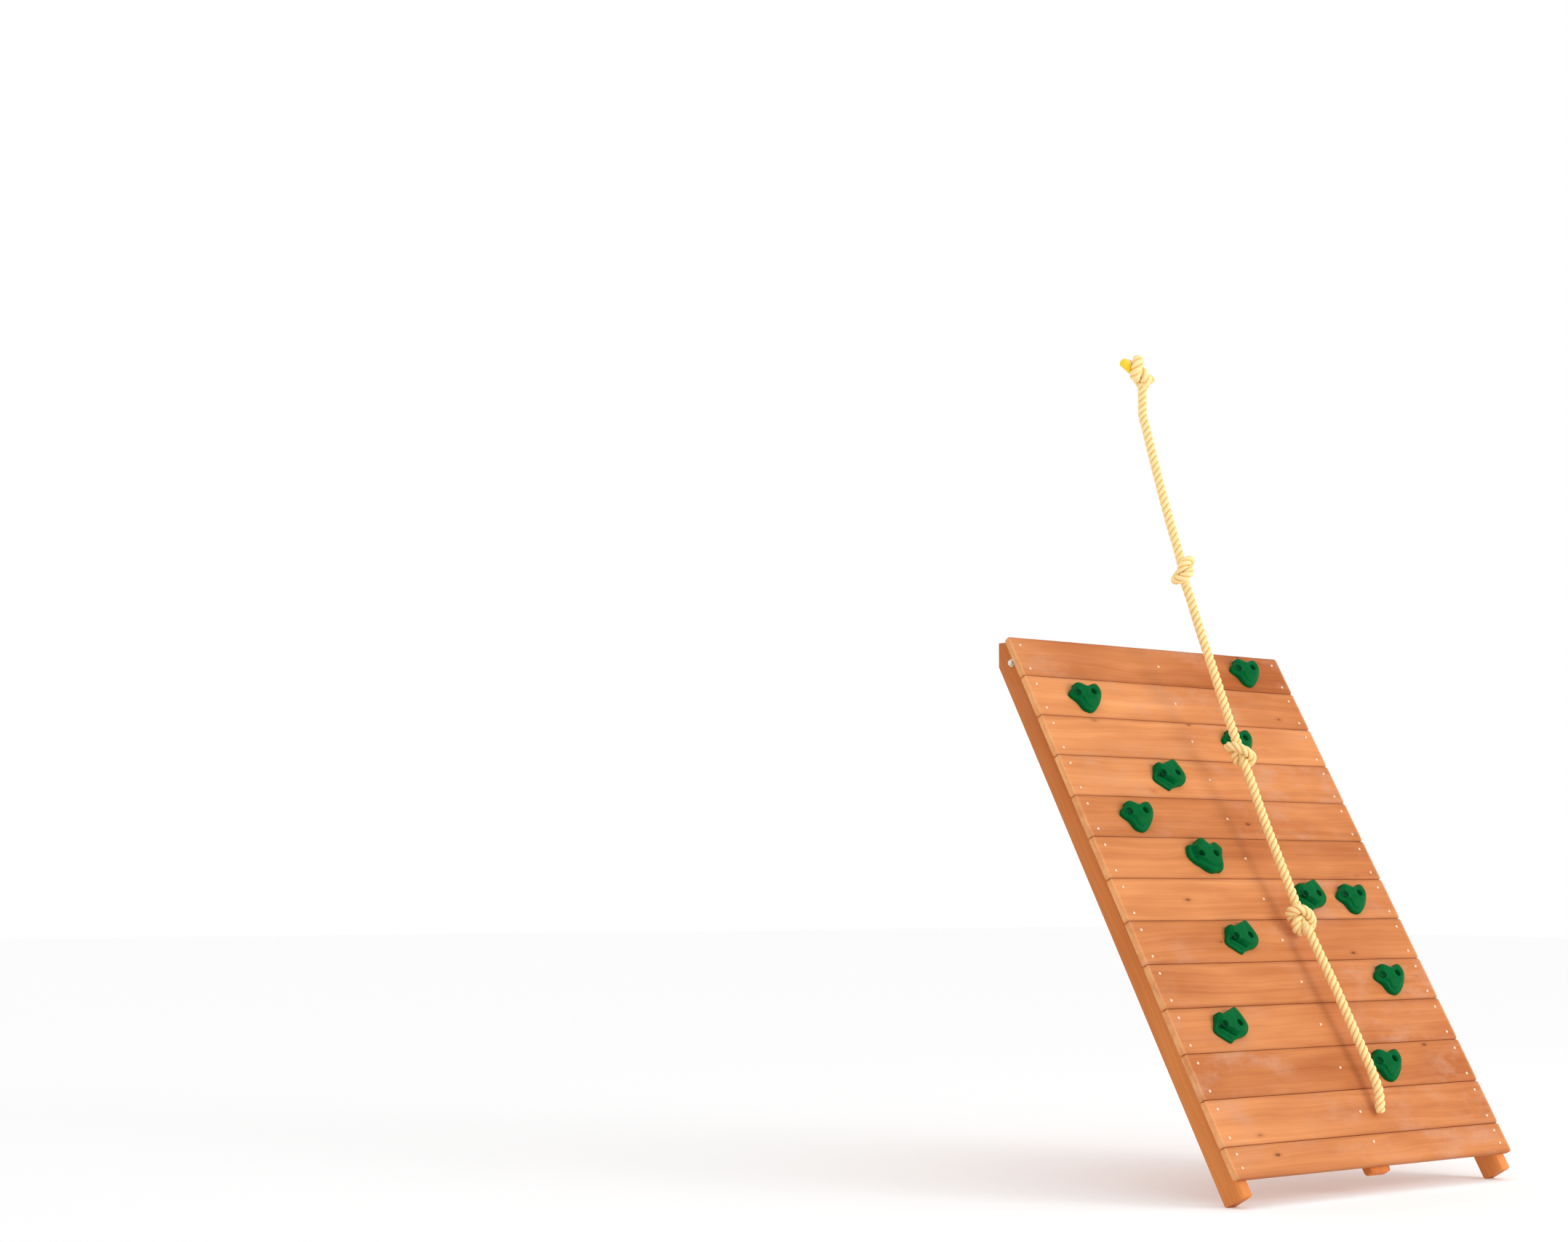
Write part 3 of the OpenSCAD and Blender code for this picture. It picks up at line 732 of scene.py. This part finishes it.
# Each type's foot on the plank (x, y) and shoulder (x, y, height), in mm about the middle of its
# bolts, then the height of its face at each bolt and how wide each bolt hole's mouth flares.
HOLD_SHAPES = {
    "heart": (
        [(74, 10), (66, 29), (48, 34), (19, 26), (-4, 36), (-19, 37), (-28, 26), (-44, 14),
         (-54, 1), (-50, -9), (-38, -19), (-29, -27), (-24, -39), (-16, -53), (5, -61), (24, -58),
         (42, -44), (56, -28), (68, -8)],
        [(68, 9, 26), (60, 25, 29), (47, 28, 30), (19, 19, 29), (-4, 30, 27), (-16, 31, 25),
         (-24, 22, 23), (-38, 11, 19), (-47, 1, 14), (-43, -6, 13), (-32, -13, 15),
         (-20, -19, 19), (-15, -33, 18), (-9, -46, 15), (6, -52, 15), (20, -48, 17),
         (37, -36, 21), (50, -23, 24), (62, -6, 26)],
        (25.0, 34.0), (2.0, 4.5),
    ),
    "eared": (
        [(70, -3), (60, 22), (46, 52), (30, 50), (7, 42), (-19, 33), (-31, 40), (-41, 30),
         (-51, 10), (-62, -9), (-56, -22), (-40, -34), (-14, -51), (2, -44), (24, -38),
         (50, -33), (66, -20)],
        [(63, -3, 23), (54, 20, 26), (40, 46, 26), (29, 44, 27), (7, 37, 28), (-18, 29, 27),
         (-29, 35, 25), (-37, 27, 23), (-46, 9, 17), (-55, -8, 10), (-50, -18, 9),
         (-37, -27, 10), (-15, -42, 9), (0, -37, 13), (22, -31, 18), (46, -26, 20),
         (58, -15, 21)],
        (28.0, 29.0), (1.0, 2.0),
    ),
    "crown": (
        [(72, 16), (62, 34), (46, 42), (26, 36), (16, 42), (6, 57), (-8, 56), (-26, 42), (-42, 38),
         (-52, 39), (-60, 26), (-66, 4), (-52, -18), (-30, -33), (-12, -47), (7, -54), (28, -52),
         (48, -50), (58, -30), (62, -8)],
        [(65, 15, 30), (56, 28, 31), (44, 35, 32), (22, 28, 32), (12, 37, 31), (3, 49, 30),
         (-8, 48, 29), (-25, 34, 26), (-40, 31, 20), (-48, 33, 17), (-54, 22, 15), (-58, 5, 13),
         (-45, -12, 14), (-24, -24, 20), (-8, -38, 21), (8, -43, 20), (27, -43, 20),
         (43, -42, 20), (51, -27, 24), (54, -8, 27)],
        (32.0, 34.0), (1.0, 4.5),
    ),
}


# Bolt holes, in mm: shank hole's and head recess's radii, and the seat's height over the plank
SHANK_HOLE, HEAD_RECESS, SEAT = 5.2, 10, 14
# The mouth of a head recess: (part of its flare outward, height over the face)
FLARE = ((0, -4.5), (0.1, -2.8), (0.35, -1.2), (0.75, 0.3), (1.45, 2.2), (1.45, 14))
# The side between foot and shoulder: angles around it, how squarely it bulges, and its low edge
SIDE_ANGLES = (0.04, 0.12, 0.25, 0.42, 0.60, 0.80, 1.02, 1.26)
BULGE, LOW_EDGE = 0.62, 0.8


def closed_curve(points, count):
    """A closed Catmull-Rom curve through points, with count points for each of them."""
    points = [Vector(p) for p in points]
    total = len(points)
    curve = []
    for i in range(total):
        a, b, c, d = (points[(i + k) % total] for k in (-1, 0, 1, 2))
        curve += [catmull_rom(a, b, c, d, k / count) for k in range(count)]
    return curve


def step(value):
    """A smooth rise from 0 at 0 to 1 at 1."""
    value = max(0.0, min(1.0, value))
    return value * value * (3 - 2 * value)


def groove(distance, width):
    return math.exp(-(((distance + 1) / width) ** 2))


def crest(kind, x, y, heights):
    """Height of a hold's upper face, in mm.

    It rises from one bolt to the other. The eared hold has a low lobe behind a groove at its
    lower left, the crown hold one at its left and a lower face, and the heart hold falls away.
    """
    left, right = heights
    top = left + (right - left) * step((x + 45) / 90)
    if kind == "eared":
        across = 0.50 * (x + 55) + 0.87 * (y - 5)
        return 17 + (top - 17) * step(across / 7) - 14 * groove(across, 3.2)
    if kind == "crown":
        lobe = top - 15 * step((-x - 38) / 7) - 8 * groove(x + 43, 3.5)
        return lobe - 5 * step((-0.5 * x - 0.87 * y - 22) / 12)
    return top - 6 * step((-y - 20) / 22) - 6 * step((-x - 42) / 12)


def hold_side(base, rim):
    """Rings up the side of a hold, from its foot to just under its shoulder."""
    rings = [[Vector((b.x * 0.995, b.y * 0.995, 0.0)) for b in base]]
    for angle in SIDE_ANGLES:
        inward, up = 1 - math.cos(angle) ** BULGE, 0.985 * math.sin(angle) ** BULGE
        rings.append([
            Vector((b.x + (r.x - b.x) * inward, b.y + (r.y - b.y) * inward,
                    LOW_EDGE + (r.z - LOW_EDGE) * up))
            for b, r in zip(base, rim)
        ])
    return rings


def hold_face(kind, rim, heights, seed):
    """Rings over the face of a hold, from its shoulder nearly to its middle."""
    rings = []
    for k in range(20):
        inward = k / 20.5
        rise, rough = step(inward / 0.17), 0.7 * step(inward / 0.2)
        ring = []
        for r in rim:
            x, y = r.x * (1 - inward), r.y * (1 - inward)
            z = r.z * (1 - rise) + crest(kind, x, y, heights) * rise
            ring.append(Vector((x, y, z + rough * noise.noise((x / 17, y / 17, seed)))))
        rings.append(ring)
    return rings


def hold_mesh(kind):
    """One type of moulded hold, with its two counterbored bolt holes."""
    foot, shoulder, heights, flares = HOLD_SHAPES[kind]
    base, rim = closed_curve(foot, 6), closed_curve(shoulder, 6)
    rings = hold_side(base, rim) + hold_face(kind, rim, heights, len(foot))
    bm = bmesh.new()
    skin = loft(bm, [[p / 1000 for p in ring] for ring in rings])
    upper = [v for ring in skin[4:] for v in ring]
    for _ in range(2):
        bmesh.ops.smooth_vert(bm, verts=upper, factor=0.5,
                              use_axis_x=True, use_axis_y=True, use_axis_z=True)
    bmesh.ops.recalc_face_normals(bm, faces=bm.faces)
    cutters = bmesh.new()
    for side, flare in zip((-1, 1), flares):
        top = crest(kind, side * 30, 0, heights)
        mouth = [(HEAD_RECESS + flare * wide, top + rise) for wide, rise in FLARE]
        profile = [(SHANK_HOLE, -2), (SHANK_HOLE, SEAT), (HEAD_RECESS, SEAT)] + mouth
        lathe(cutters, [(r / 1000, z / 1000) for r, z in profile], 40,
              Matrix.Translation((side * BOLT_PITCH / 2, 0, 0)))
    bmesh.ops.recalc_face_normals(cutters, faces=cutters.faces)
    return subtract(bm, cutters)


def subtract(solid, cutter):
    """The first mesh less the second, as plain mesh data."""
    made = []
    for bm in (solid, cutter):
        data = bpy.data.meshes.new("shape")
        bm.to_mesh(data)
        bm.free()
        made.append(bpy.data.objects.new("shape", data))
        bpy.context.scene.collection.objects.link(made[-1])
    cut = made[0].modifiers.new("cut", "BOOLEAN")
    cut.object = made[1]
    cut.solver = "EXACT"
    bpy.context.view_layer.update()
    evaluated = made[0].evaluated_get(bpy.context.evaluated_depsgraph_get())
    result = bpy.data.meshes.new_from_object(evaluated)
    for item in made:
        data = item.data
        bpy.data.objects.remove(item)
        bpy.data.meshes.remove(data)
    return result


def add_holds(material):
    shapes = {kind: hold_mesh(kind) for kind in HOLD_SHAPES}
    for i, (x, plank, kind) in enumerate(HOLDS, 1):
        row = 0 if kind == "crown" else HOLD_RAISE
        spot = Matrix.Translation((x - LENGTH / 2, -(plank - 0.5) * PITCH + row, 0))
        name = f"hold_{i:02d}"
        piece(name + "_moulding", shapes[kind].copy(), material,
              replaces=[name], place=WALL @ spot)


# ---- Fasteners ----

# A wood screw, as (radius, distance out of the plank's face), from its shoulder to its recess
SCREW_HEAD = [(0.0019, 0.0001), (0.0045, 0.0002)]
SCREW_HEAD += [(0.0045 * math.cos(a), 0.0008 + 0.0022 * math.sin(a)) for a in (0, 0.35, 0.7, 1.05)]
SCREW_HEAD += [(0.0014, 0.0030)]


def screw_places():
    """The x and y of each wood screw on the wall, and its length."""
    for i in range(1, PLANKS + 1):
        top, width, last = -(i - 1) * PITCH, plank_width(i), i > FULL_PLANKS
        rows = LAST_SCREW_ROWS if last else SCREW_ROWS
        for x in (-LENGTH / 2 + SCREW_INSET, LENGTH / 2 - SCREW_INSET):
            for row in rows:
                yield x, top - row * width, SIDE_SCREW
        yield BATTEN_X, top - (rows[0] if last else 0.5) * width, BATTEN_SCREW


def add_screws(material):
    """Domed wood screws, each turned to an angle of its own, as driven."""
    draw = random.Random(5)
    bm = bmesh.new()
    for x, y, long in screw_places():
        place = Matrix.Translation((x, y, 0)) @ Matrix.Rotation(draw.uniform(0, math.pi), 4, "Z")
        shank = [(0.0004, -long), (0.0016, -long + 0.006), (0.0019, -long + 0.009)]
        lathe(bm, shank + SCREW_HEAD, 20, place)
    piece("plank_screw_set", bm, material, replaces=["plank_screws"], place=WALL)


def dress(names, material):
    """Gives its material to each CAD node that is shown as it is."""
    for name in names:
        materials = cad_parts[name].data.materials
        materials.clear()
        materials.append(material)


# ---- Studio ----

FLOOR_REACH = 30
KEY_TARGET, KEY_TOWARD = Vector((0, -0.4, -0.6)), Vector((0.50, -0.99, 0.28))
KEY_DISTANCE, KEY_SIZE, KEY_POWER = 5, 2.5, 78


def add_studio():
    """A pale floor, a white surround and one softbox.

    The softbox stands at the right front, so that the rope's shadow falls to the left.
    """
    floor = bpy.data.meshes.new("floor")
    corners = ((-1, -1), (1, -1), (1, 1), (-1, 1))
    floor.from_pydata([(x * FLOOR_REACH, y * FLOOR_REACH, GROUND) for x, y in corners],
                      [], [(0, 1, 2, 3)])
    ground = bpy.data.objects.new("floor", floor)
    s = Shader("floor_white", Roughness=0.9)
    s.set("Base Color", (0.97, 0.97, 0.97, 1))
    floor.materials.append(s.material)
    bpy.context.scene.collection.objects.link(ground)

    world = bpy.data.worlds.new("surround")
    world.use_nodes = True
    background = world.node_tree.nodes["Background"].inputs
    background["Color"].default_value = (1, 1, 1, 1)
    background["Strength"].default_value = 1.0
    bpy.context.scene.world = world
    bpy.context.scene.view_settings.view_transform = "Standard"

    light = bpy.data.lights.new("key", "AREA")
    light.shape = "DISK"
    light.size = KEY_SIZE
    light.energy = KEY_POWER
    lamp = bpy.data.objects.new("key", light)
    lamp.location = KEY_TARGET + KEY_TOWARD.normalized() * KEY_DISTANCE
    lamp.rotation_euler = (KEY_TARGET - lamp.location).to_track_quat("-Z", "Y").to_euler()
    bpy.context.scene.collection.objects.link(lamp)


def main():
    add_camera()
    add_rope(fibre())
    add_planks()
    add_rafters()
    add_batten()
    zinc = metal("zinc_plate", rgba(214, 210, 200), 0.38)
    add_screws(metal("screw_plate", rgba(236, 206, 176), 0.5, metallic=0.4))
    add_holds(plastic())
    green = metal("green_coat", rgba(0, 62, 30), 0.5, metallic=0.0, shine=0.12)
    dress(["hold_bolts"], green)
    dress(["hold_tee_nuts", "bracket_bolts", "bracket_washers", "bracket_nuts"], zinc)
    galvanised = metal("galvanised", rgba(186, 190, 190), 0.5, speckle=60)
    dress(["rim_bracket_left", "rim_bracket_right"], galvanised)
    add_studio()


main()
